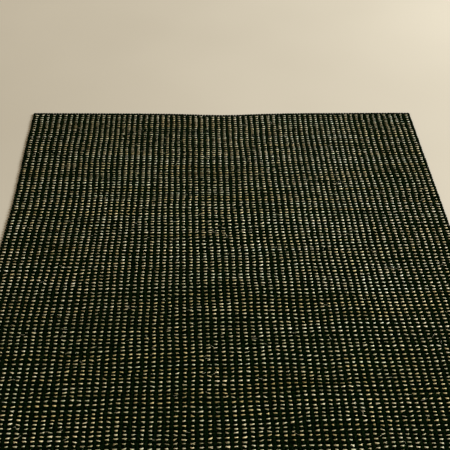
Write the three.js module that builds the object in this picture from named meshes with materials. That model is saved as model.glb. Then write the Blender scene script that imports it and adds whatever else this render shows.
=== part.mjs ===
// A flat-woven rug lying flat: plain weave, with black wool and natural jute wefts over black warps.
// Millimetres, +Z up. The origin is under the middle of the rug, on the surface it lies on.
// X runs across the warps. +Y is the length of the rug, towards its far end.

import * as THREE from 'three';

// Size of the cloth as it came off the loom
const WIDTH = 1524;
const LENGTH = 2438;
const THICKNESS = 8;

// The warps lie under the wefts as ribs along the length, with a groove between each two
const WARPS = 139;
const GROOVE_DEPTH = 1.2;

// How finely the solid follows the creep of the cloth
const LENGTH_STEPS = 14;
const WARPS_PER_UNDERSIDE_POINT = 4;

// Black wool with the jute between, seen together from a step away
const CLOTH_COLOUR = 0x1d1b12;
const CLOTH_ROUGHNESS = 0.95;

// A woven cloth is never quite square. Each row is a soft push on the threads, in millimetres, greatest at
// one place and fading over its reach. across is from the middle, and along is from the far end.
const WARP_CREEP = [
  { across: -110, along: 350, reachAcross: 130, reachAlong: 900, push: -6 },
  { across: 509, along: 140, reachAcross: 183, reachAlong: 830, push: -11 },
  { across: -620, along: 480, reachAcross: 220, reachAlong: 200, push: 9 },
  { across: 200, along: 1100, reachAcross: 350, reachAlong: 450, push: 9 },
  { across: -560, along: 1150, reachAcross: 130, reachAlong: 330, push: -9 },
  { across: 560, along: 1150, reachAcross: 130, reachAlong: 250, push: 8 },
];
const WEFT_CREEP = [
  { across: 0, along: 60, reachAcross: 155, reachAlong: 230, push: -10 },
  { across: -80, along: 0, reachAcross: 480, reachAlong: 300, push: -5 },
  { across: 0, along: 860, reachAcross: 600, reachAlong: 220, push: 3 },
  { across: -600, along: 1180, reachAcross: 250, reachAlong: 150, push: -4 },
  { across: 150, along: 2438, reachAcross: 520, reachAlong: 300, push: 5 },
];

// The sum of the soft pushes at one place: each is push times a bell curve in both directions
function creepAt(pushes, x, y) {
  const along = LENGTH / 2 - y;
  let sum = 0;
  for (const row of pushes) {
    const a = (x - row.across) / row.reachAcross;
    const b = (along - row.along) / row.reachAlong;
    sum += row.push * Math.exp(-a * a - b * b);
  }
  return sum;
}

// The cross-section of the cloth: a flat underside, and a top that rises over each warp
function ribbedSection() {
  const pitch = WIDTH / WARPS;
  const section = new THREE.Shape();
  section.moveTo(-WIDTH / 2, 0);
  for (let warp = WARPS_PER_UNDERSIDE_POINT; warp < WARPS; warp += WARPS_PER_UNDERSIDE_POINT) {
    section.lineTo(-WIDTH / 2 + warp * pitch, 0);
  }
  section.lineTo(WIDTH / 2, 0);
  for (let warp = WARPS - 1; warp >= 0; warp -= 1) {
    const left = -WIDTH / 2 + warp * pitch;
    section.lineTo(left + pitch, THICKNESS - GROOVE_DEPTH);
    section.lineTo(left + pitch / 2, THICKNESS);
  }
  section.lineTo(-WIDTH / 2, THICKNESS - GROOVE_DEPTH);
  return section;
}

// Moves every point by the creep of the warps and of the wefts, level with the floor
function letCreep(geometry) {
  const points = geometry.getAttribute('position');
  for (let i = 0; i < points.count; i += 1) {
    const x = points.getX(i);
    const y = points.getY(i);
    points.setXY(i, x + creepAt(WARP_CREEP, x, y), y + creepAt(WEFT_CREEP, x, y));
  }
  points.needsUpdate = true;
}

// Sets the cloth over the origin again, because it has crept further on one side than on the other
function centreOverOrigin(geometry) {
  geometry.computeBoundingBox();
  const middle = geometry.boundingBox.getCenter(new THREE.Vector3());
  geometry.translate(-middle.x, -middle.y, 0);
}

function makeRug() {
  const geometry = new THREE.ExtrudeGeometry(ribbedSection(), {
    depth: LENGTH,
    steps: LENGTH_STEPS,
    bevelEnabled: false,
  });
  geometry.rotateX(Math.PI / 2);
  geometry.translate(0, LENGTH / 2, 0);
  letCreep(geometry);
  centreOverOrigin(geometry);
  geometry.computeVertexNormals();
  const cloth = new THREE.MeshStandardMaterial({
    color: CLOTH_COLOUR,
    roughness: CLOTH_ROUGHNESS,
    metalness: 0,
  });
  const rug = new THREE.Mesh(geometry, cloth);
  rug.name = 'rug';
  return rug;
}

const rugGroup = new THREE.Group();
rugGroup.add(makeRug());

export default rugGroup;
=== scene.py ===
"""A flat-woven rug of black wool and natural jute, lying flat on a floor.

It is plain weave. Black wool warps run along the length, and black wool picks and natural jute picks cross
them in turn. A jute pick shows as a short dash over every second warp, and a black pick covers the others.
Metres, +Z up. +X runs across the warps and +Y along the length, towards the end that is far in the view.
"""

import math

import bpy
import numpy as np
from mathutils import Matrix, Vector


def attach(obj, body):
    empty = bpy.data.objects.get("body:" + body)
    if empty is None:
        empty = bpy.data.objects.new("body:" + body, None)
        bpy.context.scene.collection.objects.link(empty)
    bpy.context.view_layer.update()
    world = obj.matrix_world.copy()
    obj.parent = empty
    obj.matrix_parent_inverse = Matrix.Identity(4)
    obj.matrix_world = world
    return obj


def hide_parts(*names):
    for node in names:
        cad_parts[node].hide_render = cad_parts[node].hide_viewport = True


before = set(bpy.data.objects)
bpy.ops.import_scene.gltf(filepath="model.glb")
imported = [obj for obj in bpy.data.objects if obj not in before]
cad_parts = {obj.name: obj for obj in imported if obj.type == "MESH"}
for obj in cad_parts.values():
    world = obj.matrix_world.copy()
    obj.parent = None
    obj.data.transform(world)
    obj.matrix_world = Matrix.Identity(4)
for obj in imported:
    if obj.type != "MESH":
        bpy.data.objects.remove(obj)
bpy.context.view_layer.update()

MM = 0.001

# Size of the cloth as it came off the loom
WIDTH = 1524 * MM
LENGTH = 2438 * MM
THICKNESS = 8 * MM
WARPS = 139
PICKS = 377
WARP_PITCH = WIDTH / WARPS
PICK_PITCH = LENGTH / PICKS

# A woven cloth is never quite square. Each row is a soft push on the threads, in millimetres: where it is
# greatest, across from the middle and along from the far end, its reach both ways, and the push.
WARP_CREEP = [
    (-110, 350, 130, 900, -6),
    (509, 140, 183, 830, -11),
    (-620, 480, 220, 200, 9),
    (200, 1100, 350, 450, 9),
    (-560, 1150, 130, 330, -9),
    (560, 1150, 130, 250, 8),
]
PICK_CREEP = [
    (0, 60, 155, 230, -10),
    (-80, 0, 480, 300, -5),
    (0, 860, 600, 220, 3),
    (-600, 1180, 250, 150, -4),
    (150, 2438, 520, 300, 5),
]

# Heights above the floor, through the thickness of the cloth. The warps under the jute dashes stay low, and
# the others, under the black picks, rise as ribs between them.
CROWN = THICKNESS
RIB_TOP = 6.6 * MM
LOW_WARP_TOP = 4.8 * MM
GROOVE = 4.2 * MM
CORE_BOTTOM = 2.2 * MM

# The side edges and the ends
EDGE_INSET = 2.2 * MM
TURN_WIDTH = 9.0 * MM
TURN_THICKNESS = 3.2 * MM
TURN_REACH = 4.5 * MM
SIDE_BULGE = 2.5 * MM
END_BULGE = 5.5 * MM

# How far the threads wander from their even lines. The picks and the warps wander in patches, each with a
# reach in picks and in warps. Each pick also has a line of its own and the warps an uneven spacing, both
# with a reach in warps. The wander fades over this distance from the edges of the cloth.
PICK_WANDER = 2.0 * MM
PICK_WANDER_REACH = (3, 4)
LINE_WANDER = 0.5 * MM
LINE_WANDER_REACH = 8
WARP_WANDER = 1.4 * MM
WARP_WANDER_REACH = (7, 5)
SPACING_WANDER = 1.8 * MM
SPACING_WANDER_REACH = 5
WANDER_FADE = 40 * MM

# The turning wefts draw the outermost warps together, so the first jute column lies nearer the edge
DRAW_IN = 2.2 * MM
DRAW_IN_FROM_SIDE = 16 * MM
DRAW_IN_REACH = 12 * MM

# Where the jute is lighter or darker than the rest, as soft patches: across, along and reach as above, and
# the shade. The patches are partly the jute's own uneven tone and partly painted light: lighter towards the
# right side, where the light falls, and darker towards the left. Faint bands also run right across, each
# given by its place along, its reach and its shade. And the jute came in balls of yarn, each from so far
# along the cloth, with a shade of its own and more or less gold in its hue.
JUTE_TONE_AND_LIGHT_PATCHES = [
    (430, 620, 330, 330, 0.24),
    (450, 120, 260, 260, 0.12),
    (-560, 620, 200, 260, -0.08),
    (-300, 1080, 280, 280, -0.09),
    (540, 960, 150, 160, 0.18),
    (-570, 100, 110, 200, -0.10),
    (60, 200, 240, 230, 0.09),
]
JUTE_BANDS = [
    (453, 9, -0.10),
    (500, 8, -0.12),
    (517, 8, 0.12),
    (537, 6, -0.10),
    (588, 6, -0.08),
    (757, 7, -0.08),
    (860, 6, -0.10),
]
JUTE_BALLS = [(0, 0.0, 0.0), (480, 0.03, 0.05), (893, -0.12, 0.15)]

# How unevenly the jute was spun, as the weights of four changes in tone: along a pick, with a reach in
# warps, from pick to pick, down the warps, with a reach in picks, and from crossing to crossing. Then the
# middle and the spread of how light and how golden it is.
TONE_ALONG_PICK = 0.80
TONE_ALONG_PICK_REACH = 4
TONE_WHOLE_PICK = 0.45
TONE_DOWN_WARP = 0.50
TONE_DOWN_WARP_REACH = 3
TONE_OWN = 0.15
LIGHT_MIDDLE = 0.5
LIGHT_SPREAD = 0.145
GOLD_MIDDLE = 0.45
GOLD_SPREAD = 0.26

RANDOM = np.random.default_rng(20240)


# Yarn placing


def soft_sum(patches, x, y):
    """The sum of soft patches at (x, y): each amount times a bell curve of the distance both ways."""
    across = x / MM
    along = (LENGTH / 2 - y) / MM
    total = np.zeros(np.shape(x))
    for at_across, at_along, reach_across, reach_along, amount in patches:
        a = (across - at_across) / reach_across
        b = (along - at_along) / reach_along
        total += amount * np.exp(-a * a - b * b)
    return total


def creep(pushes, x, y):
    """How far the soft pushes move the cloth at (x, y)."""
    return soft_sum(pushes, x, y) * MM


def outline_middle():
    """The middle of the crept outline: half the sum of its lowest and highest x and y, over points along
    the four straight edges, two for each warp."""
    steps = np.linspace(-0.5, 0.5, 2 * WARPS + 1)
    x = np.concatenate([steps * WIDTH, steps * WIDTH, 0 * steps - WIDTH / 2, 0 * steps + WIDTH / 2])
    y = np.concatenate([0 * steps + LENGTH / 2, 0 * steps - LENGTH / 2, steps * LENGTH, steps * LENGTH])
    moved_x = x + creep(WARP_CREEP, x, y)
    moved_y = y + creep(PICK_CREEP, x, y)
    return (moved_x.min() + moved_x.max()) / 2, (moved_y.min() + moved_y.max()) / 2


MIDDLE_X, MIDDLE_Y = outline_middle()


def let_creep(points):
    """Moves points, an array ending in x, y, z, from the square cloth to where it lies."""
    x = points[..., 0]
    y = points[..., 1]
    moved = points.copy()
    moved[..., 0] = x + creep(WARP_CREEP, x, y) - MIDDLE_X
    moved[..., 1] = y + creep(PICK_CREEP, x, y) - MIDDLE_Y
    return moved


def bell_curve(reach):
    """A bell curve exp(-(k / reach) ** 2 / 2), scaled so that it keeps the spread of white noise."""
    offsets = np.arange(-3 * reach, 3 * reach + 1)
    bell = np.exp(-0.5 * (offsets / reach) ** 2)
    return bell / np.sqrt((bell ** 2).sum())


def smooth_noise(rows, columns, reach):
    """White noise smoothed along each row by a bell curve of that reach in columns. Its spread is one."""
    bell = bell_curve(reach)
    white = RANDOM.standard_normal((rows, columns + len(bell) - 1))
    windows = np.lib.stride_tricks.sliding_window_view(white, len(bell), axis=1)
    return windows @ bell


def patch_noise(reaches):
    """White noise over all crossings, smoothed by a bell curve both ways, with a spread of one."""
    down = bell_curve(reaches[0])
    across = smooth_noise(PICKS + len(down) - 1, WARPS, reaches[1])
    windows = np.lib.stride_tricks.sliding_window_view(across, len(down), axis=0)
    return windows @ down


def crossing_places():
    """The x and y of every crossing of a pick and a warp. Picks and warps are evenly spaced, and each
    wanders from its line by smooth noise. At distance d from the edge the noise is times
    1 - exp(-(d / fade) ** 2), and the outermost warps are also drawn towards the side by a bell curve."""
    x, y = np.meshgrid(WARP_X, PICK_Y)
    from_side = WIDTH / 2 - np.abs(x)
    from_end = LENGTH / 2 - np.abs(y)
    side_fade = 1 - np.exp(-(from_side / WANDER_FADE) ** 2)
    end_fade = 1 - np.exp(-(from_end / WANDER_FADE) ** 2)
    spacing = SPACING_WANDER * smooth_noise(1, WARPS, SPACING_WANDER_REACH)
    x = x + side_fade * (spacing + WARP_WANDER * patch_noise(WARP_WANDER_REACH))
    line = LINE_WANDER * smooth_noise(PICKS, WARPS, LINE_WANDER_REACH)
    x = x + np.sign(x) * DRAW_IN * np.exp(-((from_side - DRAW_IN_FROM_SIDE) / DRAW_IN_REACH) ** 2)
    y = y + end_fade * (line + PICK_WANDER * patch_noise(PICK_WANDER_REACH))
    return x, y


WARP_X = -WIDTH / 2 + (np.arange(WARPS) + 0.5) * WARP_PITCH
PICK_Y = LENGTH / 2 - (np.arange(PICKS) + 0.5) * PICK_PITCH
CROSS_X, CROSS_Y = crossing_places()

JUTE_PICKS = np.arange(1, PICKS, 2)
WOOL_PICKS = np.arange(0, PICKS, 2)
JUTE_WARPS = np.arange(1, WARPS, 2)
WOOL_WARPS = np.arange(0, WARPS, 2)


def spun_tones(picks, warps):
    """How light and how golden the yarn is at each crossing, both from 0 to 1: the middle, plus the spread
    times the weighted sum of four noises, one for each way in which it was spun unevenly. The large
    patches, partly the jute's own tone and partly painted light, the bands and the balls of yarn come on
    top."""

    def unevenness():
        along_pick = TONE_ALONG_PICK * smooth_noise(len(picks), len(warps), TONE_ALONG_PICK_REACH)
        whole_pick = TONE_WHOLE_PICK * RANDOM.standard_normal((len(picks), 1))
        down_warp = TONE_DOWN_WARP * smooth_noise(len(warps), len(picks), TONE_DOWN_WARP_REACH).T
        own = TONE_OWN * RANDOM.standard_normal((len(picks), len(warps)))
        return along_pick + whole_pick + down_warp + own

    crossings = np.ix_(picks, warps)
    # Soft patches of tone, partly the jute's own and partly painted light, lighter towards the right side
    large = soft_sum(JUTE_TONE_AND_LIGHT_PATCHES, CROSS_X[crossings], CROSS_Y[crossings])
    along = (LENGTH / 2 - PICK_Y[picks]) / MM
    bands = sum(shade * np.exp(-((along - at) / reach) ** 2) for at, reach, shade in JUTE_BANDS)
    balls = np.array(JUTE_BALLS)
    ball = np.searchsorted(balls[:, 0], along) - 1
    light = LIGHT_MIDDLE + LIGHT_SPREAD * unevenness() + large + (bands + balls[ball, 1])[:, None]
    gold = GOLD_MIDDLE + GOLD_SPREAD * unevenness() + balls[ball, 2][:, None]
    return np.clip(light, 0, 1), np.clip(gold, 0, 1)


# Mesh making

# Each yarn's field on the bake map keeps this share of it free on every side. A yarn's girth is taken as so
# many times the reach of its second ring from its middle.
FIELD_MARGIN = 0.06
GIRTH_PER_REACH = 2.2


def make_mesh(name, points, faces):
    """A mesh from points and a list of face arrays, each with 3 or 4 corners a row, shaded smooth."""
    mesh = bpy.data.meshes.new(name)
    corners = np.concatenate([rows.ravel() for rows in faces]).astype(np.int32)
    counts = np.concatenate([np.full(len(rows), rows.shape[1]) for rows in faces]).astype(np.int32)
    starts = np.concatenate([[0], np.cumsum(counts)[:-1]]).astype(np.int32)
    mesh.vertices.add(len(points))
    mesh.vertices.foreach_set("co", points.astype(np.float32).ravel())
    mesh.loops.add(len(corners))
    mesh.loops.foreach_set("vertex_index", corners)
    mesh.polygons.add(len(counts))
    mesh.polygons.foreach_set("loop_start", starts)
    mesh.polygons.foreach_set("use_smooth", np.ones(len(counts), bool))
    mesh.update(calc_edges=True)
    mesh.validate()
    return mesh


def make_piece(name, mesh, material):
    """Puts a mesh into the scene as a piece of the rug, with its finish."""
    piece = bpy.data.objects.new(name, mesh)
    bpy.context.scene.collection.objects.link(piece)
    mesh.materials.append(material)
    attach(piece, "root")
    return piece


def yarn_faces(rings, sides):
    """The faces of a closed length of yarn: a point at each end, and rings of that many sides between.
    Also gives each face corner's place on the unrolled yarn, from 0 to 1 along and around it."""
    side = np.arange(sides)
    following = (side + 1) % sides
    last = 1 + rings * sides
    start_fan = np.stack([np.zeros(sides, int), 1 + following, 1 + side], 1)
    first_ring = last - sides
    end_fan = np.stack([np.full(sides, last), first_ring + side, first_ring + following], 1)
    ring = np.arange(rings - 1)[:, None] * sides + 1
    here = ring + side
    here_next = ring + following
    quads = np.stack([here, here_next, here_next + sides, here + sides], 2).reshape(-1, 4)

    around = side / sides
    around_next = (side + 1) / sides
    middle = (side + 0.5) / sides
    step = 1 / (rings + 1)
    zero = np.zeros(sides)
    start_places = np.stack([zero, middle, zero + step, around_next, zero + step, around], 1)
    end_places = np.stack([zero + 1, middle, zero + 1 - step, around, zero + 1 - step, around_next], 1)
    low = (np.arange(rings - 1)[:, None] + 1) * step + 0 * around
    high = low + step
    left = around + 0 * low
    right = around_next + 0 * low
    quad_places = np.stack([low, left, low, right, high, right, high, left], 2)
    fans = np.concatenate([start_fan, end_fan])
    fan_places = np.concatenate([start_places, end_places]).reshape(-1, 3, 2)
    return fans, quads, fan_places, quad_places.reshape(-1, 4, 2)


def join_yarns(name, points, sides, columns, light=0.5, gold=0.5, plies=1):
    """Joins many closed lengths of yarn into one mesh. points is yarns by points by 3, each yarn from its
    first end through its rings to its last. Every yarn gets how light and golden it is, which the plies of
    one yarn share, a place along and around its own surface in millimetres, and a small field of its own on
    the bake map, in rows of that many columns."""
    count, each = points.shape[:2]
    rings = (each - 2) // sides
    fans, quads, fan_places, quad_places = yarn_faces(rings, sides)
    first = (np.arange(count) * each)[:, None, None]
    all_fans = (fans[None] + first).reshape(-1, 3)
    all_quads = (quads[None] + first).reshape(-1, 4)
    mesh = make_mesh(name, points.reshape(-1, 3), [all_fans, all_quads])

    rows = math.ceil(count / columns)
    field = np.array([1 / columns, 1 / rows])
    cell = np.stack([np.arange(count) % columns, np.arange(count) // columns], 1) * field
    corner_places = np.concatenate([fan_places.reshape(-1, 2), quad_places.reshape(-1, 2)])
    inner = FIELD_MARGIN + (1 - 2 * FIELD_MARGIN) * corner_places
    split = fan_places.shape[0] * 3
    on_fans = cell[:, None] + inner[None, :split] * field
    on_quads = cell[:, None] + inner[None, split:] * field
    places = np.concatenate([on_fans.reshape(-1, 2), on_quads.reshape(-1, 2)])
    bake_map = mesh.uv_layers.new(name="OFBake")
    bake_map.uv.foreach_set("vector", places.astype(np.float32).ravel())

    for attribute, values in (("light", light), ("gold", gold)):
        held = mesh.attributes.new(attribute, "FLOAT", "POINT")
        spread_out = np.repeat(np.broadcast_to(values, count // plies), plies * each)
        held.data.foreach_set("value", spread_out.astype(np.float32))
    middle = (points[:, :1] + points[:, -1:]) / 2
    ring_number = np.concatenate([[0], np.repeat(np.arange(rings) + 1, sides), [rings + 1]])
    side_number = np.concatenate([[sides / 2], np.tile(np.arange(sides), rings), [sides / 2]])
    ends = points[:, -1] - points[:, 0]
    reach = np.linalg.norm(ends, axis=1)[:, None] / MM
    second_ring = np.abs(points - middle)[:, 1 + sides:1 + 2 * sides].max((1, 2))[:, None]
    girth = second_ring / MM * GIRTH_PER_REACH
    along = reach * (ring_number / (rings + 1))[None]
    around = girth * (side_number / sides)[None]
    own = np.repeat(RANDOM.uniform(0, 1000, (count, 1)), each, 1)
    unrolled = mesh.attributes.new("yarn", "FLOAT_VECTOR", "POINT")
    unrolled.data.foreach_set("vector", np.stack([along, around, own], 2).astype(np.float32).ravel())
    return mesh


# How every arching yarn narrows, as 1 - TAPER * |s| ** TAPER_POWER, and how far each differs: the limits of
# its length and girth, its lumps and their limits, its bends, and how far it drops below the crown. Two
# plies turn about each other on a circle that is pressed down to a share of its height.
TAPER = 0.4
TAPER_POWER = 3
SIZE_LIMITS = (0.55, 1.3)
LUMPS = 0.10
LUMP_LIMITS = (0.7, 1.3)
BENDS = 0.25 * MM
DROP = 0.15 * MM
PRESSED = 0.4


def arch_points(x, y, yarn, along_y, under):
    """Yarn that rises over one thread and dives again on both sides, for many crossings at once.
    Its centre line runs along X, or along Y for a warp, and its height is low + (high - low) *
    (1 - |s| ** rise), with s from -1 to 1 along it. A yarn of two plies has two such lines, on opposite
    sides of a small circle that turns as it goes, and one ply shows a little longer than the other. The
    cross-section is a list of corners, in parts of the width and the thickness, and narrows towards the
    ends. Each yarn strays, tilts and thins by amounts of its own, and each ply and each corner by a little
    more."""
    plies = yarn["plies"]
    count = len(x) * plies
    section = yarn["section"]
    rings = yarn["rings"]
    s = np.linspace(-1, 1, rings + 2)
    s[1:-1] *= yarn["shoulders"]
    taper = 1 - TAPER * np.abs(s) ** TAPER_POWER
    rise = 1 - np.abs(s) ** yarn["rise"]

    def shared(amount, *shape):
        return np.repeat(amount * RANDOM.standard_normal((len(x), *shape)), plies, axis=0)

    def own(amount, *shape):
        return amount * RANDOM.standard_normal((count, *shape))

    stray = shared(yarn["stray"], 2)
    tilt = shared(yarn["tilt"], 1) + own(yarn["ply_splay"], 1)
    reach = yarn["reach"] * np.clip(1 + shared(yarn["length_spread"], 1), *SIZE_LIMITS)
    girth = np.clip(1 + shared(yarn["girth_spread"], 1), *SIZE_LIMITS)
    drop = np.abs(shared(DROP, 1))
    slip = own(yarn["ply_slip"], 1)
    lump = np.clip(1 + own(LUMPS, rings + 2), *LUMP_LIMITS)
    bend = own(BENDS, rings + 2)
    side_of_circle = np.tile(np.arange(plies) * math.pi, len(x))[:, None]
    turn = shared(yarn["lay_spread"], 1) + side_of_circle + yarn["lay_turn"] * s

    top = section[:, 1].max() * yarn["thickness"]
    high = CROWN - yarn["sink"] - top - drop
    low = yarn["foot"]
    along = stray[:, :1] + slip + reach * (1 + yarn["ply_lean"] * np.cos(side_of_circle)) * s
    across = stray[:, 1:] + tilt * reach * s + bend + yarn["ply_gap"] * np.cos(turn)
    height = low + (high - low) * rise + yarn["ply_gap"] * PRESSED * np.sin(turn)
    size = (girth * lump * taper)[:, 1:-1, None]
    side = section[:, 0] * yarn["width"]
    up = section[:, 1] * yarn["thickness"]
    ring_along = np.repeat(along[:, 1:-1, None], len(section), 2)
    ring_across = across[:, 1:-1, None] + size * side
    ring_height = height[:, 1:-1, None] + np.minimum(size, 1.0) * up
    rings_made = np.stack([ring_along, ring_across, ring_height], 3)
    rings_made += own(yarn["roughness"], *rings_made.shape[1:])
    rings_made[..., 2] = np.minimum(rings_made[..., 2], CROWN)
    tips = np.stack([along, across, height], 2)
    local = np.concatenate([tips[:, :1], rings_made.reshape(count, -1, 3), tips[:, -1:]], 1)
    points = np.empty_like(local)
    points[..., 0] = np.repeat(x, plies)[:, None] + (-local[..., 1] if along_y else local[..., 0])
    points[..., 1] = np.repeat(y, plies)[:, None] + (local[..., 0] if along_y else local[..., 1])
    points[..., 2] = local[..., 2]
    if under:
        points[..., 2] = THICKNESS - points[..., 2]
        points = points[:, ::-1]
    return points


# The cross-sections of the yarns, as corners across and up, in parts of the width and the thickness
DIAMOND = np.array([(0.0, -0.42), (0.50, 0.0), (0.0, 0.42), (-0.50, 0.0)])
WEDGE = np.array([(0.0, -0.42), (0.50, 0.32), (-0.50, 0.32)])

# Each yarn where it arches over a thread: its plies, its size, how uneven it is, and how far it strays.
# Wool yarns are drawn as one ply. The underside has a plainer dash, whose ends stay inside the warps.
JUTE_PICK = {
    "slot": "natural_jute",
    "section": DIAMOND,
    "rings": 2,
    "plies": 2,
    "ply_gap": 0.85 * MM,
    "ply_slip": 0.4 * MM,
    "ply_lean": 0.10,
    "ply_splay": 0.12,
    "lay_spread": 0.5,
    "lay_turn": 0.6,
    "width": 2.7 * MM,
    "thickness": 2.3 * MM,
    "reach": 5.45 * MM,
    "shoulders": 2.3,
    "rise": 6.0,
    "foot": 2.6 * MM,
    "sink": 1.65 * MM,
    "stray": 0.5 * MM,
    "tilt": 0.13,
    "length_spread": 0.14,
    "girth_spread": 0.12,
    "roughness": 0.25 * MM,
}
ONE_PLY = {
    "plies": 1,
    "ply_gap": 0.0,
    "ply_slip": 0.0,
    "ply_lean": 0.0,
    "ply_splay": 0.0,
    "lay_spread": 0.0,
    "lay_turn": 0.0,
}
JUTE_UNDER = {
    **JUTE_PICK,
    **ONE_PLY,
    "section": WEDGE,
    "rings": 1,
    "width": 3.7 * MM,
    "thickness": 3.4 * MM,
    "reach": 6.6 * MM,
    "shoulders": 1.0,
    "rise": 2.4,
    "foot": 4.6 * MM,
    "sink": 0.4 * MM,
}
WOOL_PICK = {
    **ONE_PLY,
    "slot": "black_wool",
    "section": DIAMOND,
    "rings": 2,
    "width": 7.4 * MM,
    "thickness": 4.2 * MM,
    "reach": 7.2 * MM,
    "shoulders": 1.3,
    "rise": 2.4,
    "foot": 3.0 * MM,
    "sink": 0.0,
    "stray": 0.5 * MM,
    "tilt": 0.10,
    "length_spread": 0.08,
    "girth_spread": 0.12,
    "roughness": 0.2 * MM,
}
WOOL_WARP = {
    **WOOL_PICK,
    "width": 10.6 * MM,
    "reach": 5.4 * MM,
    "stray": 0.4 * MM,
    "tilt": 0.06,
    "girth_spread": 0.08,
}


# Materials


def linear(hex_colour):
    """An sRGB hex colour as linear red, green, blue and alpha."""
    values = [int(hex_colour[i:i + 2], 16) / 255 for i in (1, 3, 5)]
    turned = [v / 12.92 if v <= 0.04045 else ((v + 0.055) / 1.055) ** 2.4 for v in values]
    return (*turned, 1.0)


def add_node(tree, kind, links=None, values=None, **settings):
    """Adds a node with its settings, its constant socket values, and links from other nodes' sockets."""
    node = tree.nodes.new(kind)
    for name, value in settings.items():
        setattr(node, name, value)
    for socket, value in (values or {}).items():
        node.inputs[socket].default_value = value
    for socket, source in (links or {}).items():
        tree.links.new(source, node.inputs[socket])
    return node


def set_ramp(node, stops):
    """Fills a colour ramp with (place, hex colour) stops."""
    ramp = node.color_ramp
    while len(ramp.elements) > len(stops):
        ramp.elements.remove(ramp.elements[-1])
    while len(ramp.elements) < len(stops):
        ramp.elements.new(1.0)
    for element, (place, colour) in zip(ramp.elements, stops):
        element.position = place
        element.color = linear(colour)


def new_material(name):
    """An empty node material, with its shader and its tree."""
    material = bpy.data.materials.new(name)
    material.use_nodes = True
    tree = material.node_tree
    tree.nodes.clear()
    shader = add_node(tree, "ShaderNodeBsdfPrincipled")
    add_node(tree, "ShaderNodeOutputMaterial", {"Surface": shader.outputs["BSDF"]})
    return material, tree, shader


# Each ply is twisted: its twist shows as a groove every 4 mm along it, at about 35 degrees
TWIST_SPACING_MM = 4.0
TWIST_ANGLE = math.radians(35)


def twist_wave(tree, unrolled):
    """The swell of the twist: the sine of the distance across the slanting grooves, over their spacing."""
    turn = 2 * math.pi / TWIST_SPACING_MM
    direction = (turn * math.cos(TWIST_ANGLE), turn * math.sin(TWIST_ANGLE), 1.0)
    slant = add_node(tree, "ShaderNodeVectorMath", {0: unrolled}, {1: direction}, operation="DOT_PRODUCT")
    return add_node(tree, "ShaderNodeMath", {0: slant.outputs["Value"]}, operation="SINE").outputs[0]


def fibre_noise(tree, unrolled, length_mm, width_mm):
    """Streaks that follow the yarn, about that long and that wide."""
    scale = (1 / length_mm, 1 / width_mm, 1.0)
    placed = add_node(tree, "ShaderNodeMapping", {"Vector": unrolled}, {"Scale": scale})
    values = {"Scale": 1.0, "Detail": 3.0, "Roughness": 0.6}
    noise = add_node(tree, "ShaderNodeTexNoise", {"Vector": placed.outputs[0]}, values)
    return noise.outputs["Fac"]


def natural_jute():
    """Undyed jute spun by hand: dry straw-coloured yarn, lighter and darker by turns, with fine dark
    streaks along its fibres and painted shade in the grooves of its twist."""
    material, tree, shader = new_material("natural jute, hand-spun")
    light = add_node(tree, "ShaderNodeAttribute", attribute_name="light").outputs["Fac"]
    gold = add_node(tree, "ShaderNodeAttribute", attribute_name="gold").outputs["Fac"]
    unrolled = add_node(tree, "ShaderNodeAttribute", attribute_name="yarn").outputs["Vector"]
    fibres = fibre_noise(tree, unrolled, length_mm=7.0, width_mm=0.8)
    twist = twist_wave(tree, unrolled)

    spun = add_node(tree, "ShaderNodeValToRGB", {"Fac": light})
    set_ramp(spun, [(0.0, "#847958"), (0.35, "#b6aa8b"), (0.65, "#d8cdb2"), (1.0, "#f2ead7")])
    streak = add_node(tree, "ShaderNodeMapRange", {"Value": fibres},
                      {"From Min": 0.3, "From Max": 0.7, "To Min": 0.62, "To Max": 1.18})
    # The grooves of the twist are painted up to 30% darker: painted shade in the grooves
    groove = add_node(tree, "ShaderNodeMapRange", {"Value": twist},
                      {"From Min": -1.0, "From Max": 0.2, "To Min": 0.70, "To Max": 1.0})
    shade = add_node(tree, "ShaderNodeMath", {0: streak.outputs[0], 1: groove.outputs[0]},
                     operation="MULTIPLY")
    colour = add_node(tree, "ShaderNodeVectorMath", {0: spun.outputs["Color"], "Scale": shade.outputs[0]},
                      operation="SCALE")
    hue = add_node(tree, "ShaderNodeValToRGB", {"Fac": gold})
    set_ramp(hue, [(0.0, "#f1fbf3"), (0.5, "#f9f8ed"), (1.0, "#fff3cf")])
    hued = add_node(tree, "ShaderNodeVectorMath", {0: colour.outputs[0], 1: hue.outputs["Color"]},
                    operation="MULTIPLY")
    tree.links.new(hued.outputs[0], shader.inputs["Base Color"])

    rough = add_node(tree, "ShaderNodeMapRange", {"Value": fibres}, {"To Min": 0.78, "To Max": 0.98})
    tree.links.new(rough.outputs[0], shader.inputs["Roughness"])
    relief = add_node(tree, "ShaderNodeMath", {0: fibres, 1: twist}, operation="ADD")
    bump = add_node(tree, "ShaderNodeBump", {"Height": relief.outputs[0]},
                    {"Strength": 0.7, "Distance": 0.25 * MM})
    tree.links.new(bump.outputs[0], shader.inputs["Normal"])
    shader.inputs["Specular IOR Level"].default_value = 0.12
    return material


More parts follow.
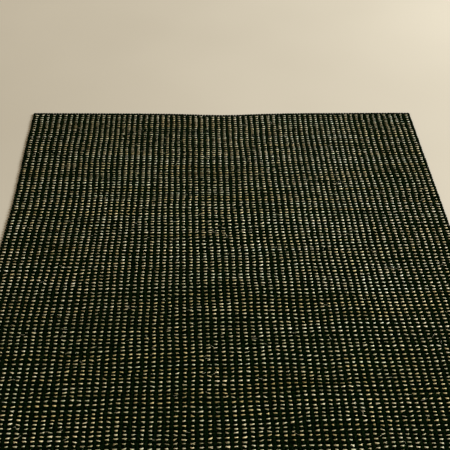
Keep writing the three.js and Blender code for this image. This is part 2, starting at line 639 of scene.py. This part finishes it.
def black_wool(name, follows_yarn):
    """Wool yarn dyed near black: it swallows light and never glints, and where it is tufted it shows dark
    olive green specks."""
    material, tree, shader = new_material(name)
    if follows_yarn:
        place = add_node(tree, "ShaderNodeAttribute", attribute_name="yarn").outputs["Vector"]
    else:
        own = add_node(tree, "ShaderNodeTexCoord").outputs["Object"]
        place = add_node(tree, "ShaderNodeMapping", {"Vector": own},
                         {"Scale": (1 / MM, 1 / MM, 1 / MM), "Rotation": (0, 0, math.pi / 2)}).outputs[0]
    fibres = fibre_noise(tree, place, length_mm=5.0, width_mm=0.7)
    tufts = fibre_noise(tree, place, length_mm=2.6, width_mm=2.2)

    dyed = add_node(tree, "ShaderNodeValToRGB", {"Fac": tufts})
    set_ramp(dyed, [(0.0, "#000100"), (0.47, "#010401"), (0.64, "#0b1506"), (0.80, "#203114")])
    streak = add_node(tree, "ShaderNodeMapRange", {"Value": fibres},
                      {"From Min": 0.3, "From Max": 0.7, "To Min": 0.6, "To Max": 1.3})
    colour = add_node(tree, "ShaderNodeVectorMath", {0: dyed.outputs["Color"], "Scale": streak.outputs[0]},
                      operation="SCALE")
    tree.links.new(colour.outputs[0], shader.inputs["Base Color"])

    rough = add_node(tree, "ShaderNodeMapRange", {"Value": fibres}, {"To Min": 0.85, "To Max": 1.0})
    tree.links.new(rough.outputs[0], shader.inputs["Roughness"])
    bump = add_node(tree, "ShaderNodeBump", {"Height": fibres}, {"Strength": 0.6, "Distance": 0.25 * MM})
    tree.links.new(bump.outputs[0], shader.inputs["Normal"])
    shader.inputs["Specular IOR Level"].default_value = 0.0
    return material


JUTE = natural_jute()
WOOL = black_wool("black wool yarn", True)
WOOL_CORE = black_wool("black wool warps", False)


# The cloth

# The sheet of warps has this many rows of points along the length
CORE_ROWS = 33


def between_rows(values, places):
    """The rows of values at places that fall between whole row numbers, each mixed from the two nearest."""
    low = np.clip(np.floor(places).astype(int), 0, len(values) - 2)
    share = (places - low)[:, None]
    return values[low] * (1 - share) + values[low + 1] * share


def make_core():
    """The warps, side by side, as one closed sheet. Its top has a low warp and a rib by turns, with grooves
    between, and its underside is flat with the same creep. It is a grid of two points a warp across and a
    row about every 8 cm along, top and bottom, joined at the edges. The warps are its odd columns."""
    rows = CORE_ROWS
    columns = 2 * WARPS + 1
    y = np.linspace(LENGTH / 2 - EDGE_INSET, -LENGTH / 2 + EDGE_INSET, rows)
    crests = between_rows(CROSS_X, (LENGTH / 2 - y) / PICK_PITCH - 0.5)
    x = np.empty((rows, columns))
    x[:, 1::2] = crests
    x[:, 2:-1:2] = (crests[:, 1:] + crests[:, :-1]) / 2
    x[:, 0] = -WIDTH / 2 + EDGE_INSET
    x[:, -1] = WIDTH / 2 - EDGE_INSET
    profile = np.full(columns, GROOVE)
    profile[1::4] = RIB_TOP
    profile[3::4] = LOW_WARP_TOP
    y = np.repeat(y[:, None], columns, 1)
    top = np.stack([x, y, np.repeat(profile[None], rows, 0)], 2)
    bottom = np.stack([x, y, np.full(x.shape, CORE_BOTTOM)], 2)
    points = let_creep(np.concatenate([top.reshape(-1, 3), bottom.reshape(-1, 3)]))

    number = np.arange(rows * columns).reshape(rows, columns)
    under = number + rows * columns
    top_faces = np.stack([number[:-1, :-1], number[1:, :-1], number[1:, 1:], number[:-1, 1:]], 2)
    bottom_faces = np.stack([under[:-1, :-1], under[:-1, 1:], under[1:, 1:], under[1:, :-1]], 2)
    rim = np.concatenate([number[0, :-1], number[:-1, -1], number[-1, :0:-1], number[:0:-1, 0]])
    after = np.roll(rim, -1)
    sides = np.stack([rim, after, after + rows * columns, rim + rows * columns], 1)
    mesh = make_mesh("warp_core", points, [top_faces.reshape(-1, 4), bottom_faces.reshape(-1, 4), sides])
    return make_piece("warp_core", mesh, WOOL_CORE)


def make_arches(name, picks, warps, yarn, along_y=False, under=False):
    """One kind of yarn at every crossing of these picks and warps, joined into one piece."""
    x = CROSS_X[np.ix_(picks, warps)].ravel()
    y = CROSS_Y[np.ix_(picks, warps)].ravel()
    points = let_creep(arch_points(x, y, yarn, along_y, under))
    sides = len(yarn["section"])
    plies = yarn["plies"]
    columns = len(warps) * plies
    if yarn["slot"] == "black_wool":
        return make_piece(name, join_yarns(name, points, sides, columns), WOOL)
    light, gold = spun_tones(picks, warps)
    mesh = join_yarns(name, points, sides, columns, light.ravel(), gold.ravel(), plies)
    return make_piece(name, mesh, JUTE)


def make_all_arches():
    """Every yarn where it shows: jute picks over the low warps, black picks over the ribs, black warps over
    the black picks between the jute, and the jute on the underside, where the side edges hide it under the
    outermost warps. The larger sets are made in three parts, from the far end to the near one."""
    pieces = []
    for part, jute_picks, wool_picks in zip(
        ("far", "middle", "near"),
        np.array_split(JUTE_PICKS, 3),
        np.array_split(WOOL_PICKS, 3),
    ):
        pieces.append(make_arches(f"jute_picks_{part}", jute_picks, JUTE_WARPS, JUTE_PICK))
        pieces.append(make_arches(f"wool_picks_{part}", wool_picks, WOOL_WARPS, WOOL_PICK))
        pieces.append(make_arches(f"wool_warps_{part}", wool_picks, JUTE_WARPS, WOOL_WARP, along_y=True))
    pieces.append(make_arches("jute_picks_under", JUTE_PICKS, WOOL_WARPS[1:-1], JUTE_UNDER, under=True))
    return pieces


# The turns of yarn round an edge: how far each goes up and down from level, how full its oval is, the
# corners of its cross-section, how much it swells, and its rings. The side turns also jog in and out, and
# slant along the edge by this share of their height.
WRAP_ANGLE = math.radians(112)
WRAP_FULLNESS = 0.65
WRAP_SIDES = 6
WRAP_SWELL = 0.10
SIDE_TURN_RINGS = 5
SIDE_TURN_JOG = 0.4 * MM
SIDE_TURN_SLANT = 0.25
END_TURN_RINGS = 4
END_TURN_WIDTH = WARP_PITCH * 1.02

# Fields in a row of each joined mesh's bake map
SIDE_TURN_FIELDS = 21
END_TURN_FIELDS = 17
FIBRE_FIELDS = 24


def wrap_points(count, rings, width, thickness, half_height, reach):
    """Yarn that wraps an edge from top to bottom, in its own frame: u outwards, v along the edge, z up.
    Its centre line is half a full oval, u = reach * cos(a) ** p and z = half_height * sin(a) ** p with the
    signs kept, with a from a little past a right angle up to the same down. The cross-section is a flat
    ellipse that narrows to a point at the ends."""
    angle = np.linspace(1.0, -1.0, rings + 2) * WRAP_ANGLE
    turn = np.arange(WRAP_SIDES) / WRAP_SIDES * 2 * math.pi
    swell = 1 + WRAP_SWELL * RANDOM.standard_normal((count, rings, 1))
    centre_u = reach * np.sign(np.cos(angle)) * np.abs(np.cos(angle)) ** WRAP_FULLNESS
    centre_z = half_height * np.sign(np.sin(angle)) * np.abs(np.sin(angle)) ** WRAP_FULLNESS
    out = np.cos(turn) * thickness / 2
    side = np.sin(turn) * width / 2
    inner = angle[1:-1, None]
    ring_u = centre_u[1:-1, None] + np.cos(inner) * out * swell
    ring_z = centre_z[1:-1, None] + np.sin(inner) * out * swell
    ring_z = np.clip(ring_z, -CROWN / 2, CROWN / 2)
    ring_v = 0 * inner + side * swell
    ring = np.stack([ring_u, ring_v, ring_z], 3).reshape(count, -1, 3)
    ends = np.stack([centre_u[[0, -1]], [0, 0], centre_z[[0, -1]]], 1)[None].repeat(count, 0)
    return np.concatenate([ends[:, :1], ring, ends[:, 1:]], 1)


def make_selvedges():
    """Each black pick turns round the outermost warp on both sides, and its turn stands a little proud."""
    made = []
    y = PICK_Y[WOOL_PICKS]
    half_height = (CROWN - TURN_THICKNESS) / 2
    for side in (-1, 1):
        local = wrap_points(len(y), SIDE_TURN_RINGS, TURN_WIDTH, TURN_THICKNESS, half_height, TURN_REACH)
        edge = side * (WIDTH / 2 + SIDE_BULGE - TURN_REACH - TURN_THICKNESS / 2)
        jog = RANDOM.standard_normal((len(y), 1)) * SIDE_TURN_JOG
        slant = SIDE_TURN_SLANT * side * local[..., 2]
        x = edge + side * local[..., 0] + side * jog
        points = np.stack([x, y[:, None] + side * local[..., 1] + slant, CROWN / 2 + local[..., 2]], 2)
        made.append(points)
    points = let_creep(np.concatenate(made))
    mesh = join_yarns("selvedge_turns", points, WRAP_SIDES, SIDE_TURN_FIELDS)
    return make_piece("selvedge_turns", mesh, WOOL)


def make_end_turns():
    """At each end the warps turn back round the last black pick, so the end shows a row of small turns."""
    made = []
    half_height = (CROWN - TURN_THICKNESS) / 2
    for end in (-1, 1):
        local = wrap_points(WARPS, END_TURN_RINGS, END_TURN_WIDTH, TURN_THICKNESS, half_height, TURN_REACH)
        edge = end * (LENGTH / 2 + END_BULGE - TURN_REACH - TURN_THICKNESS / 2)
        x = WARP_X[:, None] - end * local[..., 1]
        points = np.stack([x, edge + end * local[..., 0], CROWN / 2 + local[..., 2]], 2)
        made.append(points)
    points = let_creep(np.concatenate(made))
    mesh = join_yarns("end_turns", points, WRAP_SIDES, END_TURN_FIELDS)
    return make_piece("end_turns", mesh, WOOL)


# Jute fibres that came loose from the yarn and lie on the cloth: how many, their size, how far they turn
# from the picks in radians, how they bow and dip at their ends, how light and golden they are, and the
# share of the cloth over which they are scattered. They are wider than real fibres, so that they show.
LOOSE_FIBRES = 480
FIBRE_SIDES = 3
FIBRE_RINGS = 2
FIBRE_WIDTH = 0.5 * MM
FIBRE_LENGTHS = (9 * MM, 26 * MM)
FIBRE_TURN = 0.5
FIBRE_BOW = 2.0 * MM
FIBRE_DIP = 0.6 * MM
FIBRE_LIGHTS = (0.3, 0.9)
FIBRE_GOLD = 0.3
FIBRE_SCATTER = 0.98


def make_loose_fibres():
    """Thin three-sided hairs, scattered at random and mostly along the picks. Each is a shallow bow: across
    its own line it stands off by bow * (1 - s ** 2), with s from -1 to 1 along it, and its ends dip by
    dip * s ** 2. It stays a fibre's length or more away from the edges."""
    count = LOOSE_FIBRES
    one_each = (count, 1, 1)
    heading = FIBRE_TURN * RANDOM.standard_normal(one_each)
    half = RANDOM.uniform(*FIBRE_LENGTHS, one_each) / 2
    bow = FIBRE_BOW * RANDOM.standard_normal(one_each)
    turn = np.arange(FIBRE_SIDES) / FIBRE_SIDES * 2 * math.pi
    s = np.linspace(-1, 1, FIBRE_RINGS + 2)[:, None]
    radius = np.where(np.abs(s) < 1, FIBRE_WIDTH / 2, 0.0)
    along = half * s + 0 * turn
    across = bow * (1 - s ** 2) + radius * np.cos(turn)
    up = CROWN - FIBRE_DIP * s ** 2 + radius * np.sin(turn) + 0 * along
    middle_x = RANDOM.uniform(-FIBRE_SCATTER / 2, FIBRE_SCATTER / 2, one_each) * (WIDTH - 4 * half)
    middle_y = RANDOM.uniform(-FIBRE_SCATTER / 2, FIBRE_SCATTER / 2, one_each) * (LENGTH - 4 * half)
    x = middle_x + along * np.cos(heading) - across * np.sin(heading)
    y = middle_y + along * np.sin(heading) + across * np.cos(heading)
    rings = np.stack([x, y, up], 3)
    inner = rings[:, 1:-1].reshape(count, -1, 3)
    points = let_creep(np.concatenate([rings[:, 0, :1], inner, rings[:, -1, :1]], 1))
    light = RANDOM.uniform(*FIBRE_LIGHTS, count)
    mesh = join_yarns("loose_fibres", points, FIBRE_SIDES, FIBRE_FIELDS, light, FIBRE_GOLD)
    return make_piece("loose_fibres", mesh, JUTE)


# The stage

# The eye stands 1.65 m above the rug, 2.1 m before its far end, and looks down at it
EYE_ACROSS = -119 * MM
EYE_BEFORE_FAR_END = 2102 * MM
EYE_HEIGHT = 1650 * MM
EYE_YAW = math.radians(3.84)
EYE_PITCH = math.radians(47.844)
EYE_ROLL = math.radians(2.36)
LENS_MM = 52.0
SENSOR_MM = 36.0
NEAREST_SEEN = 50 * MM

# A matt floor far wider than the rug, even warm light from all round, and one large cooler softbox some way
# off to the right, which shines across the far half of the rug. Metres and watts.
FLOOR_HALF = 9.0
FLOOR_DROP = 0.2 * MM
SKY_COLOUR = "#ffeed4"
SKY_STRENGTH = 0.69
SOFTBOX_COLOUR = "#eef5ff"
SOFTBOX_WATTS = 1700
SOFTBOX_SIZE = 3.2
SOFTBOX_PLACE = Vector((6.4, 2.4, 4.2))
SOFTBOX_AIM = Vector((0.0, 0.7, 0.0))


def set_camera():
    """The camera at the eye. It looks along +Y turned by yaw towards +X, then down by pitch, and rolls."""
    data = bpy.data.cameras.new("eye")
    data.lens = LENS_MM
    data.sensor_width = SENSOR_MM
    data.clip_start = NEAREST_SEEN
    camera = bpy.data.objects.new("eye", data)
    bpy.context.scene.collection.objects.link(camera)
    sin, cos = math.sin, math.cos
    forward = np.array([sin(EYE_YAW) * cos(EYE_PITCH), cos(EYE_YAW) * cos(EYE_PITCH), -sin(EYE_PITCH)])
    level = np.array([cos(EYE_YAW), -sin(EYE_YAW), 0.0])
    upright = np.cross(level, forward)
    right = cos(EYE_ROLL) * level + sin(EYE_ROLL) * upright
    up = cos(EYE_ROLL) * upright - sin(EYE_ROLL) * level
    place = Matrix.Identity(4)
    for column, axis in enumerate((right, up, -forward)):
        for row in range(3):
            place[row][column] = axis[row]
    place.translation = (
        EYE_ACROSS - MIDDLE_X,
        LENGTH / 2 - EYE_BEFORE_FAR_END - MIDDLE_Y,
        EYE_HEIGHT + CROWN,
    )
    camera.matrix_world = place
    bpy.context.scene.camera = camera


def painted_floor():
    """A plain pale matt floor, with a very faint unevenness in its tone."""
    material, tree, shader = new_material("pale matt floor")
    own = add_node(tree, "ShaderNodeTexCoord").outputs["Object"]
    cloud = add_node(tree, "ShaderNodeTexNoise", {"Vector": own}, {"Scale": 1.2, "Detail": 2.0})
    ramp = add_node(tree, "ShaderNodeValToRGB", {"Fac": cloud.outputs["Fac"]})
    set_ramp(ramp, [(0.3, "#968e7d"), (0.7, "#9b9382")])
    tree.links.new(ramp.outputs["Color"], shader.inputs["Base Color"])
    shader.inputs["Roughness"].default_value = 0.9
    shader.inputs["Specular IOR Level"].default_value = 0.2
    return material


def make_floor():
    """A square floor just under the rug."""
    corners = np.array([(-1, -1, 0), (1, -1, 0), (1, 1, 0), (-1, 1, 0)]) * FLOOR_HALF
    corners[:, 2] = -FLOOR_DROP
    mesh = make_mesh("floor", corners, [np.array([[0, 1, 2, 3]])])
    floor = bpy.data.objects.new("floor", mesh)
    bpy.context.scene.collection.objects.link(floor)
    mesh.materials.append(painted_floor())


def light_stage():
    """The sky, and the softbox turned towards its aim. Colours show as they are, without a film look."""
    world = bpy.data.worlds.new("daylight")
    bpy.context.scene.world = world
    world.use_nodes = True
    sky = world.node_tree.nodes["Background"]
    sky.inputs["Color"].default_value = linear(SKY_COLOUR)
    sky.inputs["Strength"].default_value = SKY_STRENGTH

    data = bpy.data.lights.new("side_light", "AREA")
    data.shape = "SQUARE"
    data.size = SOFTBOX_SIZE
    data.energy = SOFTBOX_WATTS
    data.color = linear(SOFTBOX_COLOUR)[:3]
    softbox = bpy.data.objects.new("side_light", data)
    bpy.context.scene.collection.objects.link(softbox)
    softbox.location = SOFTBOX_PLACE
    softbox.rotation_euler = (SOFTBOX_PLACE - SOFTBOX_AIM).to_track_quat("Z", "Y").to_euler()
    bpy.context.scene.view_settings.view_transform = "Standard"


set_camera()
core = make_core()
arches = make_all_arches()
selvedges = make_selvedges()
end_turns = make_end_turns()
fibres = make_loose_fibres()
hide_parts("rug")
make_floor()
light_stage()
